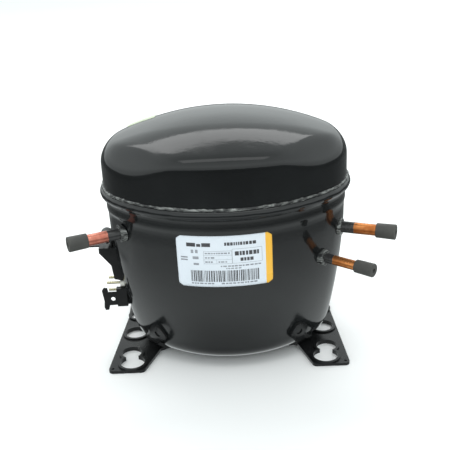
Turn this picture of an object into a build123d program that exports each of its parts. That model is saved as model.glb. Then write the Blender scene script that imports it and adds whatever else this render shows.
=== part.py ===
"""Hermetic reciprocating compressor for a refrigerator.

Millimetres, +Z up. The origin is the centre of the grommet hole pattern, on the underside of the base
plates. +X runs towards the two-tube end, -X towards the electrical terminals, -Y is the label side.
"""

from build123d import *
from math import atan2, cos, degrees, radians, sin
import os

os.makedirs("parts", exist_ok=True)

# ---------------------------------------------------------------- driving dimensions
# base plates: the universal compressor foot, two hole patterns that run into each other
GROMMET_X, GROMMET_Y, GROMMET_R = 165.1, 101.6, 10.4
METRIC_X, METRIC_Y, METRIC_R = 170.0, 70.0, 8.85
MIDDLE_R = 9.7
PLATE_T = 2.5
PLATE_X, PLATE_Y = 102.0, 63.0
PLATE_WAIST_X, PLATE_REAR_X = 95.5, 97.0
RIM_W, RIM_H = 2.2, 1.3
# the sheet that is bent up against the bowl: a skirt, and an ear and strap at each corner
SKIRT_T, DIMPLE_R, DIMPLE_DEPTH = 2.2, 3.0, 0.9
EAR_X, EAR_Y, EAR_Z = 60.0, 47.5, 27.0
EAR_W, EAR_H = 15.0, 14.0
EAR_TURN, EAR_TILT = 22.0, 32.0

# shell: every level is an oval of two end arcs and two side arcs, offset from the collar's oval
SHELL_X = 3.0
WALL = 3.0
COLLAR_R, COLLAR_HALF_WIDTH, COLLAR_Z = 101.2, 78.6, 131.5
END_R = 60.0
SEAM_OUT, SEAM_Z, SEAM_TOP = 4.3, 143.5, 149.5
LID_OUT = 1.2
LID_TOP, CROWN_R, SHOULDER_R = 207.0, 236.0, 14.0
# the bowl's side is a long shallow arc that turns into a corner arc and a flat bottom
BOTTOM_Z, CORNER_R, SIDE_ARC_R = 2.6, 28.0, 546.0
CORNER_IN = 41.5
LEAN, LEAN_TOP = 13.0, 2.03

# crank drive
SHAFT_X, SHAFT_R = -2.0, 8.0
THROW = 9.0
PIN_R = 5.0
RUN = 0.04
CYL_Z, BORE_R = 152.0, 14.0
DECK_Z, DECK_T = 118.0, 10.0
WASHER_T = 1.2
YOKE_R, YOKE_T, YOKE_HALF = 9.5, 2.0, 19.5
CROWN = 46.0
HEAD_GAP = 0.9
HEAD_X = SHAFT_X + THROW + CROWN + HEAD_GAP

# motor
STACK_Z, STACK_H = 48.0, 45.0
STATOR_HALF, STATOR_BORE, ROTOR_R = 52.0, 29.5, 29.0
SLOTS = 24
COIL_IN, COIL_OUT, COIL_H = 32.5, 42.5, 18.0
LEG = 43.0

# suspension
SPRING_X, SPRING_Y, SPRING_R, WIRE_R = 41.5, 30.0, 6.2, 0.9
SPRING_LOW, SPRING_HIGH = 27.0, 46.0

# stub tubes: entry point, heading from X towards the label side in degrees, radii and reach
SUCTION = {"at": (-82.3, -40.0, 118.7), "turn": 206, "r": 4.75, "bore": 4.1, "reach": 42.5}
PROCESS = {"at": (97.0, -24.0, 110.2), "turn": -22, "r": 4.75, "bore": 4.1, "reach": 44.5}
DISCHARGE = {"at": (81.6, -45.2, 92.3), "turn": -39, "r": 4.0, "bore": 3.25, "reach": 44.0}
TUBE_INSIDE = 5.0
CAP_L, CAP_END, CAP_WALL = 16.0, 2.5, 1.3

# electrical terminals
TERMINAL_Z, TERMINAL_R, TERMINAL_FACE = 54.6, 12.0, -93.0
PIN_CIRCLE, PIN_R_OUT, PIN_R_IN = 6.35, 1.15, 1.0
GLASS_FACE, PIN_TIP, PIN_INNER = -90.4, -105.5, -77.0


# ---------------------------------------------------------------- shared shapes
END_X = COLLAR_R - END_R
end_gap = COLLAR_HALF_WIDTH - END_R
SIDE_Y = (END_X**2 - end_gap**2) / (2 * end_gap)
SIDE_R = COLLAR_HALF_WIDTH + SIDE_Y
JOIN = degrees(atan2(END_X, SIDE_Y))
# centre, radius, start angle and sweep of the four arcs of the collar's oval
ARCS = [
    ((END_X, 0), END_R, JOIN - 90, 180 - 2 * JOIN),
    ((0, -SIDE_Y), SIDE_R, 90 - JOIN, 2 * JOIN),
    ((-END_X, 0), END_R, 90 + JOIN, 180 - 2 * JOIN),
    ((0, SIDE_Y), SIDE_R, 270 - JOIN, 2 * JOIN),
]


def oval(out):
    """The collar's oval as a face at height zero, moved outwards by out."""
    with BuildSketch() as face:
        with BuildLine():
            for centre, radius, start, sweep_angle in ARCS:
                CenterArc(centre, radius + out, start, sweep_angle)
        make_face()
    return face.sketch


def around_oval(section):
    """Carry a section, drawn in XZ with x measured outwards from the collar's oval, round the shell."""
    with BuildPart() as ring:
        for (x, y), radius, start, sweep_angle in ARCS:
            face = Pos(x, y, 0) * Rot(0, 0, start) * Pos(radius, 0, 0) * section
            revolve(face, axis=Axis((x, y, 0), (0, 0, 1)), revolution_arc=sweep_angle)
    return ring.part


def bowl_body(grow, top=SEAM_Z):
    """The lower shell as a full body, its surface grown outwards by grow."""
    corner_centre = (-CORNER_IN, BOTTOM_Z + CORNER_R)
    reach = CORNER_R - SIDE_ARC_R
    lean = radians(LEAN)
    side_centre = (corner_centre[0] + reach * cos(lean), corner_centre[1] - reach * sin(lean))
    with BuildSketch(Plane.XZ) as section:
        with BuildLine():
            CenterArc(corner_centre, CORNER_R + grow, -90, 90 - LEAN)
            side = CenterArc(side_centre, SIDE_ARC_R + grow, -LEAN, LEAN - LEAN_TOP)
            foot = (-CORNER_IN, BOTTOM_Z - grow)
            Polyline(side @ 1, (grow, COLLAR_Z), (grow, top), (-CORNER_IN, top), foot)
        make_face()
    with BuildPart() as bowl:
        add(around_oval(section.sketch))
        add(Pos(0, 0, BOTTOM_Z - grow) * oval(-CORNER_IN))
        extrude(amount=top - BOTTOM_Z + grow)
    return bowl.part.moved(Location((SHELL_X, 0, 0)))


def lid_body(grow, foot_z=SEAM_Z):
    """The upper shell as a full body, its surface grown outwards by grow."""
    with BuildPart() as lid:
        add(Pos(0, 0, foot_z) * oval(LID_OUT + grow))
        extrude(amount=LID_TOP + 10 - foot_z)
        with Locations((0, 0, LID_TOP - CROWN_R)):
            Sphere(CROWN_R + grow, mode=Mode.INTERSECT)
        top_face = lid.faces().sort_by(Axis.Z)[-1]
        fillet(top_face.edges(), radius=SHOULDER_R + grow)
    return lid.part.moved(Location((SHELL_X, 0, 0)))


def shaft_plane(z):
    """A level plane centred on the crankshaft's axis."""
    return Plane((SHAFT_X, 0, z))


def bore_plane(x):
    """A plane across the cylinder's axis, facing +X, with its own x along Y and y along Z."""
    return Plane(origin=(x, 0, CYL_Z), x_dir=(0, 1, 0), z_dir=(1, 0, 0))


def tube_plane(tube, out=0.0):
    """A plane across a stub tube, so far out from where the tube leaves the shell."""
    turn = radians(tube["turn"])
    heading = (cos(turn), sin(turn), 0)
    x, y, z = tube["at"]
    origin = (x + out * heading[0], y + out * heading[1], z)
    return Plane(origin=origin, x_dir=(0, 0, 1), z_dir=heading)


def lobes(side):
    """The figure-eight openings and the middle hole of one foot plate, as a sketch."""
    with BuildSketch() as openings:
        for end in (-1, 1):
            with Locations((side * GROMMET_X / 2, end * GROMMET_Y / 2)):
                Circle(GROMMET_R)
            with Locations((side * METRIC_X / 2, end * METRIC_Y / 2)):
                Circle(METRIC_R)
        with Locations((side * METRIC_X / 2, 0)):
            Circle(MIDDLE_R)
    return openings.sketch


def ear_plane(side, end):
    """A plane flat on one weld ear, its x along the bowl and away from the middle."""
    turn = radians(EAR_TURN)
    lean = radians(LEAN)
    along = (side * cos(turn), -end * sin(turn), 0)
    outward = (side * sin(turn) * cos(lean), end * cos(turn) * cos(lean), -sin(lean))
    return Plane(origin=(side * EAR_X, end * EAR_Y, EAR_Z), x_dir=along, z_dir=outward)


def foot_plate(side, outer_bowl):
    """One pressed foot plate: flat sheet with embossed rims, and a skirt and two weld ears up the bowl."""
    outline = [
        (side * PLATE_X, -PLATE_Y),
        (side * 71.5, -PLATE_Y),
        (side * 63.0, -37.0),
        (side * 60.0, -28.0),
        (side * 50.0, -22.0),
        (side * 50.0, 22.0),
        (side * 60.0, 28.0),
        (side * 63.0, 37.0),
        (side * 71.5, PLATE_Y),
        (side * PLATE_REAR_X, PLATE_Y),
        (side * PLATE_WAIST_X, PLATE_Y / 2),
    ]
    with BuildPart() as plate:
        with BuildSketch():
            Polygon(*outline, align=None)
            fillet(vertices().sort_by(Axis.Y)[:2], radius=4)
        extrude(amount=PLATE_T)
        with BuildSketch(Plane.XY.offset(PLATE_T)):
            offset(lobes(side), amount=RIM_W)
        extrude(amount=RIM_H)
        add(lobes(side))
        extrude(amount=PLATE_T + RIM_H, mode=Mode.SUBTRACT)
        with Locations((side * (PLATE_X - 3.6), -PLATE_Y + 3.8, 0)):
            Cylinder(1.3, PLATE_T * 3, mode=Mode.SUBTRACT)
    with BuildPart() as footprint:
        with BuildSketch():
            with Locations((side * 62.0, 0)):
                RectangleRounded(22, 66, 8)
        extrude(amount=12)
        with BuildSketch():
            for end in (-1, 1):
                with Locations(Location((side * (EAR_X + 4), end * (EAR_Y - 9)), side * end * EAR_TURN)):
                    Rectangle(6, 24)
        extrude(amount=EAR_Z)
        for end in (-1, 1):
            with BuildSketch(ear_plane(side, end)):
                RectangleRounded(EAR_W, EAR_H, 4, rotation=side * end * EAR_TILT)
            extrude(amount=12, both=True)
    with BuildPart() as dimples:
        for end in (-1, 1):
            with BuildSketch(ear_plane(side, end)):
                Circle(DIMPLE_R)
            extrude(amount=12, both=True)
        add(bowl_body(SKIRT_T - DIMPLE_DEPTH), mode=Mode.SUBTRACT)
    with BuildPart() as foot:
        add(bowl_body(SKIRT_T))
        add(footprint.part, mode=Mode.INTERSECT)
        add(dimples.part, mode=Mode.SUBTRACT)
        add(plate.part)
        add(outer_bowl, mode=Mode.SUBTRACT)
    return foot.part


def stub_tube(tube):
    """A copper stub that runs from just inside the shell to its open end."""
    with BuildPart() as stub:
        with BuildSketch(tube_plane(tube, -TUBE_INSIDE)):
            Circle(tube["r"])
            Circle(tube["bore"], mode=Mode.SUBTRACT)
        extrude(amount=TUBE_INSIDE + tube["reach"])
    return stub.part


def transit_cap(tube):
    """A rubber cap, closed at its end, that is pushed over a stub tube."""
    end = tube["reach"] + CAP_END
    with BuildPart() as cap:
        with BuildSketch(tube_plane(tube, end - CAP_L)):
            Circle(tube["r"] + CAP_WALL)
        extrude(amount=CAP_L, taper=-1)
        fillet(cap.edges().filter_by(GeomType.CIRCLE), radius=0.6)
        with BuildSketch(tube_plane(tube, end - CAP_L)):
            Circle(tube["r"] + RUN)
        extrude(amount=CAP_L - CAP_END + 0.3, mode=Mode.SUBTRACT)
        with BuildSketch(tube_plane(tube, end)):
            Circle(tube["r"] * 0.45)
        extrude(amount=-1.0, mode=Mode.SUBTRACT)
    return cap.part


# ---------------------------------------------------------------- shell
bowl_outside = bowl_body(0)
bowl_inside = bowl_body(-WALL)
lid_outside = lid_body(0)

# the bowl's lip, which holds the lid's foot
with BuildSketch(Plane.XZ) as lip_section:
    with BuildLine():
        Polyline((0, 141), (SEAM_OUT - 1.2, SEAM_Z), (SEAM_OUT, SEAM_Z + 1.6), (SEAM_OUT, SEAM_TOP - 1.4))
        Polyline((SEAM_OUT, SEAM_TOP - 1.4), (SEAM_OUT - 1.2, SEAM_TOP), (-WALL, SEAM_TOP), (-WALL, 141), (0, 141))
    make_face()
lip = around_oval(lip_section.sketch)

with BuildPart() as lower_housing:
    add(bowl_outside)
    add(lip.moved(Location((SHELL_X, 0, 0))))
    add(bowl_inside, mode=Mode.SUBTRACT)
    add(lid_outside, mode=Mode.SUBTRACT)
    for tube in (SUCTION, PROCESS, DISCHARGE):
        with BuildSketch(tube_plane(tube, -14)):
            Circle(tube["r"])
        extrude(amount=30, mode=Mode.SUBTRACT)
    with BuildSketch(Plane(origin=(-60, 0, TERMINAL_Z), z_dir=(-1, 0, 0))):
        Circle(TERMINAL_R)
    extrude(amount=50, mode=Mode.SUBTRACT)
lower_housing.part.label = "lower_housing"
export_step(lower_housing.part, "parts/lower_housing.step")

with BuildPart() as upper_housing:
    add(lid_outside)
    add(lid_body(-WALL, foot_z=SEAM_Z - 1), mode=Mode.SUBTRACT)
upper_housing.part.label = "upper_housing"
export_step(upper_housing.part, "parts/upper_housing.step")

# the weld bead fills the corner between the lid's wall and the top of the bowl's lip
with BuildSketch(Plane.XZ) as bead_section:
    with BuildLine():
        bead_foot = Line((LID_OUT, SEAM_TOP), (SEAM_OUT - 1.2, SEAM_TOP))
        ThreePointArc(bead_foot @ 1, (LID_OUT + 1.7, SEAM_TOP + 1.7), (LID_OUT, SEAM_TOP + 2.4))
        Line((LID_OUT, SEAM_TOP + 2.4), bead_foot @ 0)
    make_face()
with BuildPart() as seam_weld:
    add(around_oval(bead_section.sketch).moved(Location((SHELL_X, 0, 0))))
seam_weld.part.label = "seam_weld"
export_step(seam_weld.part, "parts/seam_weld.step")

for side, name in ((-1, "base_plate_left"), (1, "base_plate_right")):
    foot = foot_plate(side, bowl_outside)
    foot.label = name
    export_step(foot, f"parts/{name}.step")

# ---------------------------------------------------------------- stub tubes, collars and caps
STUBS = (("suction", SUCTION), ("process", PROCESS), ("discharge", DISCHARGE))
for name, tube in STUBS:
    stub = stub_tube(tube)
    stub.label = f"{name}_tube"
    export_step(stub, f"parts/{name}_tube.step")

    with BuildPart() as collar:
        with BuildSketch(tube_plane(tube, -5)):
            Circle(tube["r"] + 2.6)
            Circle(tube["r"], mode=Mode.SUBTRACT)
        extrude(amount=7.5)
        add(bowl_outside, mode=Mode.SUBTRACT)
        fillet(collar.edges().filter_by(GeomType.CIRCLE).sort_by_distance(tube["at"])[-1:], radius=0.8)
    collar.part.label = f"{name}_collar"
    export_step(collar.part, f"parts/{name}_collar.step")

    cap = transit_cap(tube)
    cap.label = f"{name}_cap"
    export_step(cap, f"parts/{name}_cap.step")

# ---------------------------------------------------------------- labels
with BuildPart() as rating_label:
    add(bowl_body(0.4))
    with BuildSketch(Plane(origin=(1.7, -60, 106.0), x_dir=(1, 0, 0), z_dir=(0, -1, 0))):
        RectangleRounded(74.6, 44.5, 3.5)
    extrude(amount=30, mode=Mode.INTERSECT)
    add(bowl_outside, mode=Mode.SUBTRACT)
rating_label.part.label = "rating_label"
export_step(rating_label.part, "parts/rating_label.step")

with BuildPart() as lid_sticker:
    add(lid_body(0.3))
    with BuildSketch(Plane((-66.0, 26.0, 180.0))):
        RectangleRounded(24, 16, 2)
    extrude(amount=40, mode=Mode.INTERSECT)
    add(lid_outside, mode=Mode.SUBTRACT)
lid_sticker.part.label = "lid_sticker"
export_step(lid_sticker.part, "parts/lid_sticker.step")

# ---------------------------------------------------------------- electrical terminals
terminal_pins_at = [(PIN_CIRCLE * sin(radians(t)), PIN_CIRCLE * cos(radians(t))) for t in (60, -60, 180)]


def terminal_plane(x):
    """A plane across the terminals, facing -X, with its own x along Y and y along Z."""
    return Plane(origin=(x, 0, TERMINAL_Z), x_dir=(0, 1, 0), z_dir=(1, 0, 0))


with BuildPart() as terminal_cup:
    with BuildSketch(terminal_plane(TERMINAL_FACE)):
        Circle(TERMINAL_R)
    extrude(amount=9)
    with BuildSketch(terminal_plane(TERMINAL_FACE)):
        Circle(TERMINAL_R - 1.5)
    extrude(amount=3.5, mode=Mode.SUBTRACT)
    with BuildSketch(terminal_plane(TERMINAL_FACE)):
        with Locations(*terminal_pins_at):
            Circle(2.7)
    extrude(amount=9, mode=Mode.SUBTRACT)
terminal_cup.part.label = "terminal_cup"
export_step(terminal_cup.part, "parts/terminal_cup.step")

with BuildPart() as terminal_glass:
    with BuildSketch(terminal_plane(GLASS_FACE)):
        with Locations(*terminal_pins_at):
            Circle(2.7)
            Circle(PIN_R_IN, mode=Mode.SUBTRACT)
    extrude(amount=7.2)
terminal_glass.part.label = "terminal_glass"
export_step(terminal_glass.part, "parts/terminal_glass.step")

with BuildPart() as terminal_pins:
    with BuildSketch(terminal_plane(PIN_TIP)):
        with Locations(*terminal_pins_at):
            Circle(PIN_R_OUT)
    extrude(amount=GLASS_FACE - PIN_TIP)
    with BuildSketch(terminal_plane(GLASS_FACE)):
        with Locations(*terminal_pins_at):
            Circle(PIN_R_IN)
    extrude(amount=PIN_INNER - GLASS_FACE)
terminal_pins.part.label = "terminal_pins"
export_step(terminal_pins.part, "parts/terminal_pins.step")

with BuildPart() as lead_plug:
    with BuildSketch(terminal_plane(TERMINAL_FACE + 10)):
        RectangleRounded(23, 22, 3)
        with Locations(*terminal_pins_at):
            Circle(PIN_R_IN, mode=Mode.SUBTRACT)
    extrude(amount=9)
lead_plug.part.label = "lead_plug"
export_step(lead_plug.part, "parts/lead_plug.step")

BRACKET_HALF, BRACKET_T = 16.0, 1.3
with BuildPart() as terminal_bracket:
    for y in (-BRACKET_HALF, BRACKET_HALF - BRACKET_T):
        with BuildSketch(Plane(origin=(0, y, 0), x_dir=(1, 0, 0), z_dir=(0, -1, 0)).offset(-BRACKET_T)):
            Polygon((-80, 62), (-96.6, 66), (-98.2, 79), (-107.6, 91), (-107.6, 95.4), (-80, 95.4), align=None)
        extrude(amount=BRACKET_T)
    with BuildSketch(Plane.XY.offset(94.1)):
        with Locations((-97, 0)):
            Rectangle(21.2, 2 * BRACKET_HALF)
        with Locations((-111.5, -6)):
            Rectangle(13, 7)
    extrude(amount=BRACKET_T)
    with BuildSketch(Plane(origin=(0, -13, 0), x_dir=(1, 0, 0), z_dir=(0, -1, 0))):
        with Locations((-101.5, 103.4)):
            Circle(5.2)
            Circle(5.2 - BRACKET_T, mode=Mode.SUBTRACT)
        with Locations((-101.5 + 0.6, 98.2 - 1.0)):
            Rectangle(14, 8, align=(Align.MAX, Align.CENTER), mode=Mode.SUBTRACT)
        with Locations((-96.95, 99.5)):
            Rectangle(BRACKET_T, 9.2)
    extrude(amount=-13)
    add(bowl_body(0.0), mode=Mode.SUBTRACT)
terminal_bracket.part.label = "terminal_bracket"
export_step(terminal_bracket.part, "parts/terminal_bracket.step")

TAB_Y, TAB_T = -12.6, 1.2
with BuildPart() as ground_tab:
    with BuildSketch(Plane(origin=(0, TAB_Y, 0), x_dir=(1, 0, 0), z_dir=(0, -1, 0))):
        outline = [
            (-82, 40.6),
            (-103.5, 39.6),
            (-104.6, 35.4),
            (-107.6, 35.0),
            (-108.6, 38.0),
            (-108.0, 44.0),
            (-109.4, 54.0),
            (-107.6, 56.6),
            (-104.6, 56.2),
            (-104.0, 52.4),
            (-96.6, 52.4),
            (-96.2, 57.2),
            (-82, 57.2),
        ]
        Polygon(*outline, align=None)
        with Locations((-100.1, 45.6)):
            Circle(2.0, mode=Mode.SUBTRACT)
    extrude(amount=TAB_T)
    with Locations((-91.5, -15.2, 48.5)):
        Box(9, 4.0, 17)
    add(bowl_outside, mode=Mode.SUBTRACT)
ground_tab.part.label = "ground_tab"
export_step(ground_tab.part, "parts/ground_tab.step")

# ---------------------------------------------------------------- motor
with BuildPart() as stator_core:
    with BuildSketch(shaft_plane(STACK_Z)):
        Rectangle(2 * STATOR_HALF, 2 * STATOR_HALF)
        chamfer(vertices(), length=12)
        Circle(STATOR_BORE, mode=Mode.SUBTRACT)
        with PolarLocations((COIL_IN + COIL_OUT) / 2 - 0.5, SLOTS):
            RectangleRounded(COIL_OUT - COIL_IN - 1, 4.6, 1.5, mode=Mode.SUBTRACT)
        with PolarLocations(STATOR_BORE + 1, SLOTS):
            Rectangle(6, 1.8, mode=Mode.SUBTRACT)
        with GridLocations(2 * LEG, 2 * LEG, 2, 2):
            Circle(2.6, mode=Mode.SUBTRACT)
    extrude(amount=STACK_H)
stator_core.part.label = "stator_core"
export_step(stator_core.part, "parts/stator_core.step")

with BuildPart() as stator_winding:
    for z in (STACK_Z - COIL_H - 0.5, STACK_Z + STACK_H + 0.5):
        with BuildSketch(shaft_plane(z)):
            Circle(COIL_OUT)
            Circle(COIL_IN, mode=Mode.SUBTRACT)
        extrude(amount=COIL_H)
    fillet(stator_winding.edges().filter_by(GeomType.CIRCLE), radius=3)
    with BuildSketch(shaft_plane(STACK_Z - 5)):
        with PolarLocations((COIL_IN + COIL_OUT) / 2 - 0.5, SLOTS):
            RectangleRounded(COIL_OUT - COIL_IN - 1.8, 3.8, 1.2)
    extrude(amount=STACK_H + 10)
stator_winding.part.label = "stator_winding"
export_step(stator_winding.part, "parts/stator_winding.step")

with BuildPart() as stator_bolts:
    with BuildSketch(shaft_plane(STACK_Z)):
        with GridLocations(2 * LEG, 2 * LEG, 2, 2):
            Circle(2.4)
    extrude(amount=STACK_H + 12)
    with BuildSketch(shaft_plane(STACK_Z - 3.5)):
        with GridLocations(2 * LEG, 2 * LEG, 2, 2):
            RegularPolygon(4.2, 6)
    extrude(amount=3.5)
stator_bolts.part.label = "stator_bolts"
export_step(stator_bolts.part, "parts/stator_bolts.step")

with BuildPart() as rotor_core:
    with BuildSketch(shaft_plane(STACK_Z)):
        Circle(ROTOR_R)
        Circle(SHAFT_R, mode=Mode.SUBTRACT)
    extrude(amount=STACK_H)
    with BuildSketch(shaft_plane(STACK_Z + STACK_H)):
        Circle(15.5)
    extrude(amount=-14, mode=Mode.SUBTRACT)
rotor_core.part.label = "rotor_core"
export_step(rotor_core.part, "parts/rotor_core.step")

with BuildPart() as rotor_end_rings:
    for z, way in ((STACK_Z, -1), (STACK_Z + STACK_H, 1)):
        with BuildSketch(shaft_plane(z)):
            Circle(ROTOR_R - 0.6)
            Circle(19, mode=Mode.SUBTRACT)
        extrude(amount=way * 7)
rotor_end_rings.part.label = "rotor_end_rings"
export_step(rotor_end_rings.part, "parts/rotor_end_rings.step")

# ---------------------------------------------------------------- crankshaft
WEB_Z = DECK_Z + DECK_T + WASHER_T + 0.1
WEB_T = 6.5
CRANK_PIN = (SHAFT_X - THROW, 0)
with BuildPart() as crankshaft:
    with BuildSketch(shaft_plane(32)):
        Circle(SHAFT_R)
    extrude(amount=WEB_Z - 32)
    with BuildSketch(shaft_plane(WEB_Z)):
        Circle(16.5)
    extrude(amount=WEB_T)
    with BuildSketch(Plane((*CRANK_PIN, WEB_Z + WEB_T))):
        Circle(PIN_R)
    extrude(amount=CYL_Z + YOKE_R - 1.5 - WEB_Z - WEB_T)
    with BuildSketch(shaft_plane(32)):
        Circle(4.5)
    extrude(amount=30, mode=Mode.SUBTRACT)
    with BuildSketch(Plane((SHAFT_X - THROW / 2, 0, WEB_Z + 2))):
        Circle(1.5 + RUN)
    extrude(amount=WEB_T, mode=Mode.SUBTRACT)
    fillet(crankshaft.edges().sort_by(Axis.Z)[-1:], radius=0.8)
crankshaft.part.label = "crankshaft"
export_step(crankshaft.part, "parts/crankshaft.step")

with BuildPart() as counterweight:
    with BuildSketch(shaft_plane(WEB_Z)):
        Circle(25)
        Circle(16.5, mode=Mode.SUBTRACT)
        with Locations((-30, 0)):
            Rectangle(60, 60, mode=Mode.SUBTRACT)
    extrude(amount=WEB_T)
counterweight.part.label = "counterweight"
export_step(counterweight.part, "parts/counterweight.step")

with BuildPart() as gallery_plug:
    with BuildSketch(Plane((SHAFT_X - THROW / 2, 0, WEB_Z + 2.3))):
        Circle(1.5)
    extrude(amount=3.6)
gallery_plug.part.label = "gallery_plug"
export_step(gallery_plug.part, "parts/gallery_plug.step")

with BuildPart() as oil_pickup:
    with BuildSketch(shaft_plane(15)):
        Circle(3)
    with BuildSketch(shaft_plane(32)):
        Circle(6)
    loft()
    with BuildSketch(shaft_plane(32)):
        Circle(4.5)
    extrude(amount=12)
    with BuildSketch(shaft_plane(15)):
        Circle(2)
    extrude(amount=29, mode=Mode.SUBTRACT)
oil_pickup.part.label = "oil_pickup"
export_step(oil_pickup.part, "parts/oil_pickup.step")

with BuildPart() as thrust_washer:
    with BuildSketch(shaft_plane(DECK_Z + DECK_T)):
        Circle(14)
        Circle(SHAFT_R + 0.3, mode=Mode.SUBTRACT)
    extrude(amount=WASHER_T)
thrust_washer.part.label = "thrust_washer"
export_step(thrust_washer.part, "parts/thrust_washer.step")

# ---------------------------------------------------------------- slide shoe, yoke and piston, at bottom dead centre
PIN_X = CRANK_PIN[0]


def yoke_plane(y):
    """A plane across the yoke tube, facing +Y, with its own x along -X and y along Z."""
    return Plane(origin=(PIN_X, y, CYL_Z), x_dir=(-1, 0, 0), z_dir=(0, 1, 0))


SHOE_HALF = 9.0
with BuildPart() as slide_shoe:
    with BuildSketch(yoke_plane(-SHOE_HALF)):
        Circle(YOKE_R - RUN)
    extrude(amount=2 * SHOE_HALF)
    with BuildSketch(Plane((*CRANK_PIN, CYL_Z - YOKE_R))):
        Circle(PIN_R + RUN)
    extrude(amount=2 * YOKE_R, mode=Mode.SUBTRACT)
slide_shoe.part.label = "slide_shoe"
export_step(slide_shoe.part, "parts/slide_shoe.step")

SLOT_HALF = THROW + PIN_R + 1.0
with BuildPart() as yoke_tube:
    with BuildSketch(yoke_plane(-YOKE_HALF)):
        Circle(YOKE_R + YOKE_T)
        Circle(YOKE_R, mode=Mode.SUBTRACT)
    extrude(amount=2 * YOKE_HALF)
    with BuildSketch(Plane((*CRANK_PIN, CYL_Z - YOKE_R - YOKE_T - 1))):
        SlotOverall(2 * SLOT_HALF, 2 * (PIN_R + 0.6), rotation=90)
    extrude(amount=YOKE_R, mode=Mode.SUBTRACT)
yoke_tube.part.label = "yoke_tube"
export_step(yoke_tube.part, "parts/yoke_tube.step")

SKIRT = 14.0
with BuildPart() as piston:
    with BuildSketch(bore_plane(PIN_X + SKIRT)):
        Circle(BORE_R - RUN)
    extrude(amount=CROWN - SKIRT)
    with BuildSketch(bore_plane(PIN_X + SKIRT)):
        Circle(BORE_R - 3)
    extrude(amount=CROWN - SKIRT - 6, mode=Mode.SUBTRACT)
    with BuildSketch(bore_plane(PIN_X)):
        Circle(6)
    extrude(amount=CROWN - 4)
    with BuildSketch(yoke_plane(-YOKE_HALF)):
        Circle(YOKE_R + YOKE_T)
    extrude(amount=2 * YOKE_HALF, mode=Mode.SUBTRACT)
piston.part.label = "piston"
export_step(piston.part, "parts/piston.step")

# ---------------------------------------------------------------- cylinder block
FLANGE_HALF, BOLT_AT = 24.0, 17.5
BLOCK_HEAD = HEAD_X - 1.1
with BuildPart() as cylinder_block:
    with BuildSketch(shaft_plane(DECK_Z)):
        RectangleRounded(98, 98, 12)
        with GridLocations(78, 40, 2, 2):
            Circle(9, mode=Mode.SUBTRACT)
    extrude(amount=DECK_T)
    with BuildSketch(shaft_plane(84)):
        Circle(14)
    extrude(amount=DECK_Z - 84)
    with BuildSketch(shaft_plane(STACK_Z + STACK_H)):
        with GridLocations(2 * LEG, 2 * LEG, 2, 2):
            Circle(5.8)
    extrude(amount=DECK_Z - STACK_Z - STACK_H)
    with BuildSketch(bore_plane(SHAFT_X + 22)):
        Circle(BORE_R + 6.5)
    extrude(amount=BLOCK_HEAD - SHAFT_X - 22)
    with BuildSketch(bore_plane(BLOCK_HEAD)):
        RectangleRounded(2 * FLANGE_HALF, 2 * FLANGE_HALF, 5)
    extrude(amount=-9)
    with BuildSketch(shaft_plane(DECK_Z + 2)):
        with Locations((22 + (BLOCK_HEAD - SHAFT_X - 22) / 2, 0)):
            Rectangle(BLOCK_HEAD - SHAFT_X - 22, 26)
    extrude(amount=CYL_Z - DECK_Z - 2)
    with BuildSketch(bore_plane(SHAFT_X + 10)):
        Circle(BORE_R)
    extrude(amount=60, mode=Mode.SUBTRACT)
    with BuildSketch(shaft_plane(80)):
        Circle(SHAFT_R + RUN)
    extrude(amount=60, mode=Mode.SUBTRACT)
    with BuildSketch(shaft_plane(DECK_Z + DECK_T)):
        Circle(26)
    extrude(amount=14, mode=Mode.SUBTRACT)
    with BuildSketch(bore_plane(BLOCK_HEAD)):
        with GridLocations(2 * BOLT_AT, 2 * BOLT_AT, 2, 2):
            Circle(2.4)
    extrude(amount=-9, mode=Mode.SUBTRACT)
    with BuildSketch(shaft_plane(STACK_Z + STACK_H)):
        with GridLocations(2 * LEG, 2 * LEG, 2, 2):
            Circle(2.4)
    extrude(amount=12, mode=Mode.SUBTRACT)
cylinder_block.part.label = "cylinder_block"
export_step(cylinder_block.part, "parts/cylinder_block.step")


def head_layer(x, thickness, hole):
    """A square plate of the cylinder head stack with its four bolt holes."""
    with BuildPart() as layer:
        with BuildSketch(bore_plane(x)):
            RectangleRounded(2 * FLANGE_HALF, 2 * FLANGE_HALF, 5)
            with GridLocations(2 * BOLT_AT, 2 * BOLT_AT, 2, 2):
                Circle(hole, mode=Mode.SUBTRACT)
        extrude(amount=thickness)
    return layer.part


# ports: suction above the axis, discharge below it
PORT_Z, SUCTION_PORT_R, DISCHARGE_PORT_R = 6.0, 3.2, 2.6
GASKET_T, PLATE_X_T, COVER_T = 0.8, 3.0, 18.0
REED_T = 0.3
CYL_GASKET_X = BLOCK_HEAD
VALVE_X = CYL_GASKET_X + 1.1
with BuildPart() as cylinder_gasket:
    add(head_layer(CYL_GASKET_X, 1.1, 2.7))
    with BuildSketch(bore_plane(CYL_GASKET_X)):
        Circle(BORE_R)
    extrude(amount=1.1, mode=Mode.SUBTRACT)
cylinder_gasket.part.label = "cylinder_gasket"
export_step(cylinder_gasket.part, "parts/cylinder_gasket.step")

with BuildPart() as valve_plate:
    add(head_layer(VALVE_X, PLATE_X_T, 2.7))
    with BuildSketch(bore_plane(VALVE_X)):
        with Locations((0, PORT_Z)):
            Circle(SUCTION_PORT_R)
        with Locations((0, -PORT_Z)):
            Circle(DISCHARGE_PORT_R)
    extrude(amount=PLATE_X_T, mode=Mode.SUBTRACT)
valve_plate.part.label = "valve_plate"
export_step(valve_plate.part, "parts/valve_plate.step")


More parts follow.
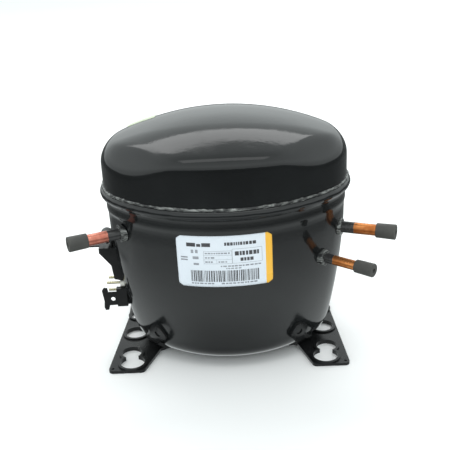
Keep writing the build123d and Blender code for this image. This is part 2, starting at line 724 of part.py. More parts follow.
def reed(x, way, port_z, length):
    """A spring-steel tongue over one port, rooted at a round clamped end beyond the port."""
    root = port_z + length if port_z > 0 else port_z - length
    with BuildPart() as tongue:
        with BuildSketch(bore_plane(x)):
            with Locations((0, port_z)):
                Circle(4.0)
            with Locations((0, (root + port_z) / 2)):
                Rectangle(4.4, abs(root - port_z))
        extrude(amount=way * REED_T)
        with Locations(Location((x + way * REED_T / 2, 0, CYL_Z + root), (90, 0, 0))):
            Cylinder(REED_T / 2, 4.4)
    return tongue.part


SUCTION_ROOT, DISCHARGE_ROOT = 5.0, 9.0
suction_reed = reed(VALVE_X - 0.02, -1, PORT_Z, SUCTION_ROOT)
suction_reed.label = "suction_reed"
export_step(suction_reed, "parts/suction_reed.step")

discharge_reed = reed(VALVE_X + PLATE_X_T + 0.02, 1, -PORT_Z, DISCHARGE_ROOT)
discharge_reed.label = "discharge_reed"
export_step(discharge_reed, "parts/discharge_reed.step")

COVER_GASKET_X = VALVE_X + PLATE_X_T
COVER_X = COVER_GASKET_X + GASKET_T
with BuildPart() as cover_gasket:
    add(head_layer(COVER_GASKET_X, GASKET_T, 2.7))
    with BuildSketch(bore_plane(COVER_GASKET_X)):
        RectangleRounded(26, 38, 3)
    extrude(amount=GASKET_T, mode=Mode.SUBTRACT)
cover_gasket.part.label = "cover_gasket"
export_step(cover_gasket.part, "parts/cover_gasket.step")

with BuildPart() as cylinder_head:
    add(head_layer(COVER_X, COVER_T, 2.7))
    with BuildSketch(bore_plane(COVER_X)):
        RectangleRounded(26, 38, 3)
    extrude(amount=COVER_T - 4, mode=Mode.SUBTRACT)
    with BuildSketch(bore_plane(COVER_X)):
        Rectangle(26, 3)
    extrude(amount=COVER_T - 4)
cylinder_head.part.label = "cylinder_head"
export_step(cylinder_head.part, "parts/cylinder_head.step")

with BuildPart() as discharge_stop:
    with BuildSketch(Plane(origin=(0, -3, 0), x_dir=(1, 0, 0), z_dir=(0, -1, 0))):
        stop_x = COVER_GASKET_X + 2.4
        foot_z = CYL_Z - PORT_Z - DISCHARGE_ROOT
        Polygon(
            (stop_x, CYL_Z - PORT_Z + 4),
            (stop_x + 1, CYL_Z - PORT_Z + 4),
            (stop_x + 1, foot_z - 3.5),
            (COVER_GASKET_X, foot_z - 3.5),
            (COVER_GASKET_X, foot_z - 1.5),
            (stop_x, foot_z - 1.5),
            align=None,
        )
    extrude(amount=-6)
discharge_stop.part.label = "discharge_stop"
export_step(discharge_stop.part, "parts/discharge_stop.step")

with BuildPart() as head_bolts:
    with BuildSketch(bore_plane(BLOCK_HEAD - 9)):
        with GridLocations(2 * BOLT_AT, 2 * BOLT_AT, 2, 2):
            Circle(2.4)
    extrude(amount=COVER_X + COVER_T - BLOCK_HEAD + 9)
    with BuildSketch(bore_plane(COVER_X + COVER_T)):
        with GridLocations(2 * BOLT_AT, 2 * BOLT_AT, 2, 2):
            RegularPolygon(4.4, 6)
    extrude(amount=3.6)
head_bolts.part.label = "head_bolts"
export_step(head_bolts.part, "parts/head_bolts.step")

# ---------------------------------------------------------------- mufflers
MUFFLER_Z, MUFFLER_H = DECK_Z + DECK_T, 42.0
MUFFLER_AT = (28.0, -40.5)
with BuildPart() as suction_muffler:
    with BuildSketch(Plane((*MUFFLER_AT, MUFFLER_Z))):
        RectangleRounded(40, 26, 6)
    extrude(amount=MUFFLER_H)
    offset(amount=-1.6, openings=suction_muffler.faces().sort_by(Axis.Z)[-1])
suction_muffler.part.label = "suction_muffler"
export_step(suction_muffler.part, "parts/suction_muffler.step")

with BuildPart() as muffler_cover:
    with BuildSketch(Plane((*MUFFLER_AT, MUFFLER_Z + MUFFLER_H))):
        RectangleRounded(40, 26, 6)
    extrude(amount=4)
    fillet(muffler_cover.edges().group_by(Axis.Z)[-1], radius=1.5)
muffler_cover.part.label = "muffler_cover"
export_step(muffler_cover.part, "parts/muffler_cover.step")

CHAMBER_AT = (20.0, 38.0)
CHAMBER_H = 20.0
with BuildPart() as discharge_muffler:
    with BuildSketch(Plane((*CHAMBER_AT, DECK_Z + DECK_T))):
        Circle(11)
    extrude(amount=CHAMBER_H)
    fillet(discharge_muffler.edges().group_by(Axis.Z)[-1], radius=3)
    with BuildSketch(Plane((*CHAMBER_AT, DECK_Z + DECK_T))):
        Circle(9.5)
    extrude(amount=CHAMBER_H - 2, mode=Mode.SUBTRACT)
discharge_muffler.part.label = "discharge_muffler"
export_step(discharge_muffler.part, "parts/discharge_muffler.step")

# ---------------------------------------------------------------- suspension
FLOOR_Z = BOTTOM_Z + WALL
with BuildPart() as spring_seats:
    with BuildSketch(shaft_plane(FLOOR_Z)):
        with GridLocations(2 * SPRING_X, 2 * SPRING_Y, 2, 2):
            Circle(SPRING_R + WIRE_R)
    extrude(amount=SPRING_LOW - FLOOR_Z - WIRE_R)
    with BuildSketch(shaft_plane(FLOOR_Z)):
        with GridLocations(2 * SPRING_X, 2 * SPRING_Y, 2, 2):
            Circle(SPRING_R - WIRE_R - 0.5)
    extrude(amount=SPRING_LOW - FLOOR_Z + 4)
    add(bowl_inside, mode=Mode.INTERSECT)
spring_seats.part.label = "spring_seats"
export_step(spring_seats.part, "parts/spring_seats.step")

with BuildPart() as spring_caps:
    with BuildSketch(shaft_plane(STACK_Z)):
        with GridLocations(2 * SPRING_X, 2 * SPRING_Y, 2, 2):
            Circle(SPRING_R - WIRE_R - 0.5)
    extrude(amount=-7)
spring_caps.part.label = "spring_caps"
export_step(spring_caps.part, "parts/spring_caps.step")

SPRING_TURNS = 4.5
spring_height = SPRING_HIGH - SPRING_LOW
with BuildPart() as spring:
    with BuildLine() as coil:
        Helix(pitch=spring_height / SPRING_TURNS, height=spring_height, radius=SPRING_R)
    with BuildSketch(Plane(origin=coil.line @ 0, z_dir=coil.line % 0)):
        Circle(WIRE_R)
    sweep(path=coil.line, is_frenet=True)
with BuildPart() as suspension_springs:
    with Locations(*[
        (SHAFT_X + x * SPRING_X, y * SPRING_Y, SPRING_LOW) for x in (-1, 1) for y in (-1, 1)
    ]):
        add(spring.part)
suspension_springs.part.label = "suspension_springs"
export_step(suspension_springs.part, "parts/suspension_springs.step")

# ---------------------------------------------------------------- internal discharge tube and motor leads
SHOCK_R, SHOCK_BORE = 2.2, 1.5
SOCKET_L = 4.0
chamber_top = DECK_Z + DECK_T + CHAMBER_H
run_in = tube_plane(DISCHARGE, -TUBE_INSIDE - SOCKET_L - 13).origin
socket_back = tube_plane(DISCHARGE, -TUBE_INSIDE - SOCKET_L)
shock_route = [
    (CHAMBER_AT[0], CHAMBER_AT[1], chamber_top),
    (CHAMBER_AT[0], CHAMBER_AT[1], chamber_top + 22),
    (63.0, 47.0, chamber_top + 24),
    (88.0, 22.0, chamber_top + 17),
    (89.0, -14.0, chamber_top - 10),
    (86.0, -16.0, chamber_top - 36),
    (run_in.X, run_in.Y, run_in.Z),
    (socket_back.origin.X, socket_back.origin.Y, socket_back.origin.Z),
]
with BuildPart() as shock_tube:
    with BuildLine() as shock_path:
        FilletPolyline(*shock_route, radius=8)
    with BuildSketch(Plane(origin=shock_path.line @ 0, z_dir=shock_path.line % 0)):
        Circle(SHOCK_R)
        Circle(SHOCK_BORE, mode=Mode.SUBTRACT)
    sweep(path=shock_path.line)
    with BuildSketch(socket_back):
        Circle(DISCHARGE["r"])
        Circle(SHOCK_BORE, mode=Mode.SUBTRACT)
    extrude(amount=SOCKET_L)
shock_tube.part.label = "shock_tube"
export_step(shock_tube.part, "parts/shock_tube.step")

LEAD_R = 1.2
with BuildPart() as motor_leads:
    for y in (-4.0, 0.0, 4.0):
        with BuildLine() as lead_path:
            FilletPolyline(
                (TERMINAL_FACE + 19, y, TERMINAL_Z + 2),
                (-62.0, y, TERMINAL_Z + 2),
                (-62.0, y, STACK_Z + STACK_H + 12),
                (SHAFT_X - COIL_OUT - 0.4, y, STACK_Z + STACK_H + 12),
                radius=6,
            )
        with BuildSketch(Plane(origin=lead_path.line @ 0, z_dir=lead_path.line % 0)):
            Circle(LEAD_R)
        sweep(path=lead_path.line)
motor_leads.part.label = "motor_leads"
export_step(motor_leads.part, "parts/motor_leads.step")
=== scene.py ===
"""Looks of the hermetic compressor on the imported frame: shell, weld, label, stubs and the pump inside."""

import math
import random

import bmesh
import bpy
import numpy as np
from mathutils import Matrix, Vector


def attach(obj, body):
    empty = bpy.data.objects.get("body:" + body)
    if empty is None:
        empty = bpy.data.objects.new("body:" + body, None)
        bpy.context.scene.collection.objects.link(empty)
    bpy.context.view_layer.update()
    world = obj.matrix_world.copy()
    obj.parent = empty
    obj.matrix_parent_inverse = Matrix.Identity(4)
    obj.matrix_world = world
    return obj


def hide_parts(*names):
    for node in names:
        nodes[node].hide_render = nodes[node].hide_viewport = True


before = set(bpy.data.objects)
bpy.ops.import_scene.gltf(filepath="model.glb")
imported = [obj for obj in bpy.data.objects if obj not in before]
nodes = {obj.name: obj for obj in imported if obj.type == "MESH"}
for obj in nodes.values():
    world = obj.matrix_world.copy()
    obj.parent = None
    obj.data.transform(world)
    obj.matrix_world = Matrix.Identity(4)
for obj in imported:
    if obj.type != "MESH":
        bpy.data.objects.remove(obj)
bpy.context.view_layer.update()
MM = 0.001

# ---------------------------------------------------------------- shell dimensions, millimetres
# The shell's plan is an oval of four arcs, two tight ends and two long sides. The collar at the top of the
# bowl is that oval at offset 0.
SHELL_X = 3.0
WALL = 3.0
COLLAR_R, COLLAR_HALF_WIDTH, END_R = 101.2, 78.6, 60.0
SEAM_Z, SEAM_TOP = 143.5, 149.5
LID_OUT, LID_WALL_TOP, LID_TOP = 1.2, 168.0, 207.0
CROWN_R, SHOULDER_R = 236.0, 12.5
BOTTOM_Z, CORNER_R, SIDE_ARC_R, CORNER_IN = 2.6, 28.0, 546.0, 41.5
# lean of the bowl's side from upright, at its foot and at the collar, in degrees
LEAN, LEAN_TOP = 13.0, 2.03
END_X = COLLAR_R - END_R
SIDE_Y = (END_X**2 - (COLLAR_HALF_WIDTH - END_R) ** 2) / (2 * (COLLAR_HALF_WIDTH - END_R))
SIDE_R = COLLAR_HALF_WIDTH + SIDE_Y
JOIN = math.atan2(END_X, SIDE_Y)
AXIS = np.array([SHELL_X, 0.0])

# the stubs: where each enters the shell, its heading in degrees from +X, radius and painted length
TUBES = {
    "suction": {"at": (-82.3, -40.0, 118.7), "turn": 206, "r": 4.75, "painted": 12.5},
    "process": {"at": (97.0, -24.0, 110.2), "turn": -22, "r": 4.75, "painted": 13.0},
    "discharge": {"at": (81.6, -45.2, 92.3), "turn": -39, "r": 4.0, "painted": 10.5},
}
STUB_HOLE_DEPTH = 26
TERMINAL_AT, TERMINAL_HOLE_R, TERMINAL_HOLE_DEPTH = (-86, 0, 54.6), 12.02, 24
HOLE_SIDES = 72


# ---------------------------------------------------------------- mesh helpers
def new_piece(name, verts, faces, material, body="housing"):
    """A smooth mesh of points in millimetres, riding on a body."""
    mesh = bpy.data.meshes.new(name)
    mesh.from_pydata([tuple(v) for v in np.asarray(verts) * MM], [], faces)
    mesh.validate()
    obj = bpy.data.objects.new(name, mesh)
    bpy.context.scene.collection.objects.link(obj)
    mesh.materials.append(material)
    mesh.polygons.foreach_set("use_smooth", [True] * len(mesh.polygons))
    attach(obj, body)
    return obj


def recalc(obj):
    """Turn all of a closed mesh's faces outwards."""
    bm = bmesh.new()
    bm.from_mesh(obj.data)
    bmesh.ops.recalc_face_normals(bm, faces=bm.faces)
    bm.to_mesh(obj.data)
    bm.free()


def oval_points(out, end_steps=52, side_steps=112):
    """Points round the oval at an offset from the collar's oval, with their outward normals."""
    arcs = [
        ((END_X, 0), END_R, JOIN - math.pi / 2, math.pi - 2 * JOIN, end_steps),
        ((0, -SIDE_Y), SIDE_R, math.pi / 2 - JOIN, 2 * JOIN, side_steps),
        ((-END_X, 0), END_R, math.pi / 2 + JOIN, math.pi - 2 * JOIN, end_steps),
        ((0, SIDE_Y), SIDE_R, 1.5 * math.pi - JOIN, 2 * JOIN, side_steps),
    ]
    points, normals = [], []
    for (cx, cy), radius, start, sweep, steps in arcs:
        angles = start + sweep * np.arange(steps) / steps
        ring = np.stack([np.cos(angles), np.sin(angles)], 1)
        points.append(ring * (radius + out) + [cx + SHELL_X, cy])
        normals.append(ring)
    return np.concatenate(points), np.concatenate(normals)


# the bowl and the lid share these points
RING, RING_NORMAL = oval_points(0.0)
AROUND = len(RING)


def oval_distance(x, y):
    """Signed distance from the collar's oval."""
    x, y = np.abs(x - SHELL_X), np.abs(y)
    in_end = np.arctan2(x, y + SIDE_Y) > JOIN
    return np.where(in_end, np.hypot(x - END_X, y) - END_R, np.hypot(x, y + SIDE_Y) - SIDE_R)


def round_max(a, b, radius):
    """Meet of two surfaces with a round of that radius between them."""
    u, v = np.maximum(radius + a, 0), np.maximum(radius + b, 0)
    return np.minimum(-radius, np.maximum(a, b)) + np.hypot(u, v)


def soft_max(a, b, width):
    """Meet of two surfaces at a shallow angle, blended over that much difference."""
    h = np.maximum(width - np.abs(a - b), 0) / width
    return np.maximum(a, b) + h * h * width / 4


def strip_faces(rows, around):
    """Quads between rows of points that go round."""
    faces = []
    for j in range(rows - 1):
        for i in range(around):
            k = (i + 1) % around
            faces.append((j * around + i, j * around + k, (j + 1) * around + k, (j + 1) * around + i))
    return faces


def smoothstep(low, high, value):
    """A soft step from 0 at low to 1 at high."""
    t = np.clip((value - low) / (high - low), 0, 1)
    return t * t * (3 - 2 * t)


def ripple(points, scale, seed):
    """Smooth pseudo-random values at the points, mostly from -1 to 1, from a few crossed waves.

    scale is about how far the waves turn per millimetre, in radians.
    """
    waves = 7
    rng = np.random.default_rng(seed)
    total = np.zeros(len(points))
    for _ in range(waves):
        direction = rng.normal(size=3)
        direction *= scale * rng.uniform(0.6, 1.7) / np.linalg.norm(direction)
        total += np.sin(points @ direction + rng.uniform(0, 6.28))
    return total / (waves / 2)


# ---------------------------------------------------------------- node helpers
class Graph:
    """A material's node tree, with short calls for the nodes that it needs."""

    def __init__(self, name, **sockets):
        self.material = bpy.data.materials.new(name)
        self.material.use_nodes = True
        self.tree = self.material.node_tree
        self.shader = self.tree.nodes["Principled BSDF"]
        for key, value in sockets.items():
            self.shader.inputs[key.replace("_", " ")].default_value = value
        self.coord = self.add("ShaderNodeTexCoord").outputs["Object"]

    def add(self, kind, **settings):
        node = self.tree.nodes.new(kind)
        for key, value in settings.items():
            setattr(node, key, value)
        return node

    def put(self, socket, value):
        if isinstance(value, bpy.types.NodeSocket):
            self.tree.links.new(value, socket)
        else:
            socket.default_value = value

    def math(self, operation, *values):
        node = self.add("ShaderNodeMath", operation=operation)
        for socket, value in zip(node.inputs, values):
            self.put(socket, value)
        return node.outputs[0]

    def scaled(self, scale, turn=(0, 0, 0)):
        """The object's coordinates scaled by axis, then turned."""
        node = self.add("ShaderNodeMapping")
        self.put(node.inputs["Vector"], self.coord)
        node.inputs["Scale"].default_value = scale
        node.inputs["Rotation"].default_value = turn
        return node.outputs[0]

    def noise(self, scale, detail=3.0, rough=0.5, vector=None):
        node = self.add("ShaderNodeTexNoise")
        self.put(node.inputs["Vector"], vector or self.coord)
        node.inputs["Scale"].default_value = scale
        node.inputs["Detail"].default_value = detail
        node.inputs["Roughness"].default_value = rough
        return node.outputs["Fac"]

    def voronoi(self, scale, output="Distance"):
        node = self.add("ShaderNodeTexVoronoi")
        self.put(node.inputs["Vector"], self.coord)
        node.inputs["Scale"].default_value = scale
        return node.outputs[output]

    def wave(self, scale, direction, distortion):
        node = self.add("ShaderNodeTexWave", bands_direction=direction)
        self.put(node.inputs["Vector"], self.coord)
        node.inputs["Scale"].default_value = scale
        node.inputs["Distortion"].default_value = distortion
        return node.outputs["Fac"]

    def span(self, value, low, high, to_low=0.0, to_high=1.0):
        """A soft step of a value, from to_low at low to to_high at high."""
        node = self.add("ShaderNodeMapRange", interpolation_type="SMOOTHSTEP")
        self.put(node.inputs["Value"], value)
        for key, number in (("From Min", low), ("From Max", high), ("To Min", to_low), ("To Max", to_high)):
            self.put(node.inputs[key], number)
        return node.outputs["Result"]

    def mix(self, factor, a, b):
        node = self.add("ShaderNodeMix", data_type="RGBA")
        self.put(node.inputs["Factor"], factor)
        colours = [s for s in node.inputs if s.type == "RGBA"]
        for socket, value in zip(colours, (a, b)):
            self.put(socket, value if isinstance(value, bpy.types.NodeSocket) else (*value, 1.0))
        return [s for s in node.outputs if s.type == "RGBA"][0]

    def split(self):
        """The object's X, Y and Z, in metres."""
        node = self.add("ShaderNodeSeparateXYZ")
        self.put(node.inputs[0], self.coord)
        return node.outputs

    def bump(self, *layers):
        """Layers of (height, strength, distance in metres), each on top of the last."""
        normal = None
        for height, strength, distance in layers:
            node = self.add("ShaderNodeBump")
            self.put(node.inputs["Height"], height)
            node.inputs["Strength"].default_value = strength
            node.inputs["Distance"].default_value = distance
            if normal:
                self.put(node.inputs["Normal"], normal)
            normal = node.outputs[0]
        self.put(self.shader.inputs["Normal"], normal)

    def set(self, socket, value):
        self.put(self.shader.inputs[socket], value)


def speckle(g, scale, share, size):
    """Sparse round specks: a share of the cells hold one, of that size in cells."""
    near = g.voronoi(scale)
    lot = g.voronoi(scale, output="Color")
    chosen = g.math("GREATER_THAN", lot, 1 - share)
    return g.math("MULTIPLY", g.math("LESS_THAN", near, size), chosen)


# ---------------------------------------------------------------- materials
def gloss_paint(name, base, rough, peel, dust):
    """Gloss paint with orange peel, smears, hairline scratches and settled dust."""
    g = Graph(name, IOR=1.5, Metallic=0.0)
    cloud = g.noise(14, 4)
    fine = g.noise(160, 3)
    colour = g.mix(g.span(cloud, 0.35, 0.7), base, tuple(c * 1.7 for c in base))
    specks = speckle(g, 190, dust, 0.13)
    fluff = speckle(g, 75, dust * 0.35, 0.05)
    colour = g.mix(g.math("MULTIPLY", specks, 0.8), colour, (0.50, 0.50, 0.47))
    colour = g.mix(g.math("MULTIPLY", fluff, 0.8), colour, (0.55, 0.53, 0.48))
    g.set("Base Color", colour)
    smear = g.span(g.noise(30, 5, 0.6), 0.48, 0.72, rough, rough + 0.10)
    g.set("Roughness", g.math("ADD", smear, g.math("MULTIPLY", specks, 0.4)))
    scratch = g.noise(60, 2, vector=g.scaled((14, 3, 1), turn=(0.3, 0.9, 0.4)))
    line = g.span(scratch, 0.735, 0.75)
    g.bump(
        (g.noise(330, 2), peel, 0.0004),
        (fine, peel * 0.7, 0.0004),
        (specks, 0.3, 0.0002),
        (line, 0.15, 0.0002),
    )
    return g.material


def weld_finish():
    """Painted weld with patches of bare, glassy slag."""
    g = Graph("weld_bead", IOR=1.5)
    slag = g.noise(150, 4, 0.6, vector=g.scaled((1, 1, 3.5)))
    drip = g.noise(60, 3)
    bare = g.span(g.math("ADD", slag, g.math("MULTIPLY", drip, 0.5)), 0.66, 0.92)
    g.set("Base Color", g.mix(bare, (0.020, 0.021, 0.021), (0.26, 0.27, 0.26)))
    g.set("Metallic", g.math("MULTIPLY", bare, 0.5))
    g.set("Roughness", g.span(slag, 0.3, 0.7, 0.12, 0.34))
    g.bump((drip, 0.4, 0.0012), (slag, 0.35, 0.0005))
    return g.material


def plate_finish():
    """Dipped black paint on pressed sheet, with a few chips."""
    g = Graph("plate_paint", IOR=1.33)
    cloud = g.noise(28, 4)
    chips = g.span(g.noise(210, 4, 0.6), 0.70, 0.73)
    colour = g.mix(g.span(cloud, 0.3, 0.7), (0.006, 0.0064, 0.0068), (0.015, 0.0155, 0.016))
    g.set("Base Color", g.mix(g.math("MULTIPLY", chips, 0.5), colour, (0.20, 0.19, 0.17)))
    g.set("Roughness", g.span(cloud, 0.3, 0.7, 0.14, 0.30))
    g.bump((g.noise(420, 2), 0.12, 0.0004), (g.noise(90, 3), 0.15, 0.0008))
    return g.material


def copper_finish(name, tube, clean, warm):
    """Drawn copper with the shell's black paint oversprayed on its root."""
    g = Graph(name)
    turn = math.radians(tube["turn"])
    split = g.split()
    along = g.math(
        "ADD",
        g.math("MULTIPLY", g.math("SUBTRACT", split[0], tube["at"][0] * MM), math.cos(turn)),
        g.math("MULTIPLY", g.math("SUBTRACT", split[1], tube["at"][1] * MM), math.sin(turn)),
    )
    ragged = g.math("MULTIPLY", g.math("SUBTRACT", g.noise(220, 3), 0.5), 0.0022)
    edge = tube["painted"] * MM
    painted = g.span(g.math("ADD", along, ragged), edge + 0.0003, edge - 0.0003)
    stain = g.noise(90, 5, 0.6)
    drawn = g.noise(600, 2, vector=g.scaled((1, 1, 1), turn=(0, 0, -turn)))
    bare = g.mix(g.span(stain, 0.36, 0.66), clean, warm)
    burnt = g.span(along, edge + 0.006, edge, 0.0, 0.45)
    bare = g.mix(burnt, bare, tuple(c * 0.55 for c in warm))
    paint_colour = g.mix(g.noise(300, 3), (0.010, 0.010, 0.011), (0.04, 0.04, 0.04))
    g.set("Base Color", g.mix(painted, bare, paint_colour))
    g.set("Metallic", g.math("MULTIPLY", g.math("SUBTRACT", 1.0, painted), 0.92))
    bare_rough = g.span(stain, 0.3, 0.7, 0.24, 0.42)
    g.set("Roughness", g.math("SUBTRACT", bare_rough, g.math("MULTIPLY", painted, 0.10)))
    ring = g.math("SINE", g.math("MULTIPLY", along, 2600))
    g.bump(
        (painted, 0.5, 0.0002),
        (g.noise(260, 4), 0.14, 0.0005),
        (ring, 0.03, 0.0002),
        (drawn, 0.05, 0.0003),
    )
    return g.material


def rubber_finish():
    """Matt black rubber with a pale bloom."""
    g = Graph("cap_rubber", IOR=1.5)
    cloud = g.noise(120, 4)
    bloom = g.span(g.noise(45, 5, 0.65), 0.42, 0.68)
    colour = g.mix(cloud, (0.034, 0.034, 0.031), (0.060, 0.060, 0.055))
    g.set("Base Color", g.mix(g.math("MULTIPLY", bloom, 0.5), colour, (0.085, 0.084, 0.077)))
    g.set("Roughness", g.span(cloud, 0.3, 0.7, 0.5, 0.68))
    g.bump((g.noise(900, 3), 0.25, 0.0002), (g.noise(150, 3), 0.12, 0.0005))
    return g.material


def label_finish():
    """Coated film with a coloured band along its right-hand end."""
    band_from, band_full = 0.03372, 0.03382
    g = Graph("label_film", IOR=1.45)
    band = g.span(g.split()[0], band_from, band_full)
    film = g.mix(g.noise(35, 3), (0.64, 0.70, 0.76), (0.70, 0.75, 0.81))
    ink = g.mix(g.noise(60, 3), (0.80, 0.42, 0.035), (0.88, 0.50, 0.06))
    dirt = g.span(g.noise(120, 5, 0.7), 0.62, 0.8)
    colour = g.mix(band, film, ink)
    g.set("Base Color", g.mix(g.math("MULTIPLY", dirt, 0.18), colour, (0.35, 0.34, 0.32)))
    g.set("Roughness", g.span(g.noise(80, 3), 0.3, 0.7, 0.26, 0.38))
    g.bump((g.noise(500, 2), 0.05, 0.0002), (g.noise(40, 2), 0.05, 0.001))
    return g.material


def general(name, tones, rough, metallic=0.0, grain=300, bump=0.1, stretch=None, pattern=None, **sockets):
    """A finish with cloudy colour between two tones, uneven gloss and a grain.

    stretch scales the fine grain by axis, and pattern adds bands as (scale, direction, depth).
    """
    low, high = tones
    g = Graph(name, Metallic=metallic, **sockets)
    cloud = g.noise(grain * 0.12, 4, 0.6)
    vector = g.scaled(stretch) if stretch else None
    fine = g.noise(grain, 3, vector=vector)
    both = g.math("ADD", g.math("MULTIPLY", cloud, 0.6), g.math("MULTIPLY", fine, 0.4))
    colour = g.mix(g.span(both, 0.32, 0.68), low, high)
    layers = [(fine, bump, 0.0005), (cloud, bump * 0.6, 0.001)]
    if pattern:
        scale, direction, depth = pattern
        bands = g.wave(scale, direction, 0.3)
        colour = g.mix(g.math("MULTIPLY", bands, depth), colour, tuple(c * 0.35 for c in low))
        layers.append((bands, 0.5, 0.0003))
    g.set("Base Color", colour)
    g.set("Roughness", g.span(cloud, 0.3, 0.7, rough * 0.8, rough * 1.3))
    g.bump(*layers)
    return g.material


# pairs of tones: where a cloud is dark and where it is light
DARK_PRINT = ((0.03, 0.03, 0.034), (0.08, 0.08, 0.09))
PALE_PRINT = ((0.20, 0.21, 0.24), (0.32, 0.34, 0.37))
SALMON = ((0.68, 0.27, 0.20), (0.50, 0.155, 0.105))
ORANGE = ((0.66, 0.26, 0.085), (0.44, 0.14, 0.038))
GREEN_FILM = ((0.55, 0.62, 0.46), (0.68, 0.74, 0.58))
GREEN_GLASS = ((0.05, 0.09, 0.07), (0.12, 0.18, 0.14))
CUP_STEEL = ((0.42, 0.41, 0.38), (0.60, 0.59, 0.55))
BRASS = ((0.60, 0.55, 0.36), (0.78, 0.73, 0.52))
IVORY = ((0.70, 0.68, 0.60), (0.80, 0.78, 0.70))
SPRING_STEEL = ((0.32, 0.32, 0.33), (0.48, 0.48, 0.50))
TUBE_STEEL = ((0.50, 0.50, 0.50), (0.64, 0.64, 0.63))
INSULATION = ((0.62, 0.59, 0.50), (0.78, 0.75, 0.66))
CAST_IRON = ((0.13, 0.13, 0.135), (0.26, 0.26, 0.27))
HEAD_IRON = ((0.16, 0.16, 0.165), (0.30, 0.30, 0.31))
FIBRE = ((0.13, 0.17, 0.14), (0.24, 0.30, 0.25))
GROUND_STEEL = ((0.46, 0.46, 0.47), (0.64, 0.64, 0.65))
ZINC = ((0.46, 0.46, 0.42), (0.66, 0.66, 0.62))
MUFFLER_TAN = ((0.62, 0.59, 0.50), (0.76, 0.73, 0.64))
COVER_TAN = ((0.60, 0.57, 0.48), (0.74, 0.71, 0.62))
STATOR_IRON = ((0.20, 0.21, 0.23), (0.34, 0.35, 0.37))
ENAMEL = ((0.42, 0.15, 0.05), (0.66, 0.28, 0.10))
BLACK_PLASTIC = ((0.03, 0.03, 0.033), (0.07, 0.07, 0.075))
WASHER_STEEL = ((0.38, 0.36, 0.33), (0.56, 0.54, 0.50))
CRANK_STEEL = ((0.44, 0.44, 0.45), (0.62, 0.62, 0.63))
SHOE_STEEL = ((0.44, 0.44, 0.45), (0.60, 0.60, 0.61))
WEIGHT_STEEL = ((0.28, 0.28, 0.30), (0.44, 0.44, 0.46))
ROTOR_IRON = ((0.24, 0.24, 0.26), (0.38, 0.38, 0.40))
ALUMINIUM = ((0.58, 0.59, 0.60), (0.76, 0.77, 0.78))
YOKE_STEEL = ((0.42, 0.42, 0.43), (0.58, 0.58, 0.59))
REED_STEEL = ((0.30, 0.32, 0.38), (0.46, 0.48, 0.54))

# scales of a machined grain, and bands of sheets or of wire
GRAIN_X, GRAIN_Y, GRAIN_Z, GROUND_Z = (14, 1, 1), (1, 14, 1), (1, 1, 14), (1, 1, 16)
SHEETS, WINDING, LEADS = (1250, "Z", 0.5), (520, "DIAGONAL", 0.5), (420, "DIAGONAL", 0.35)

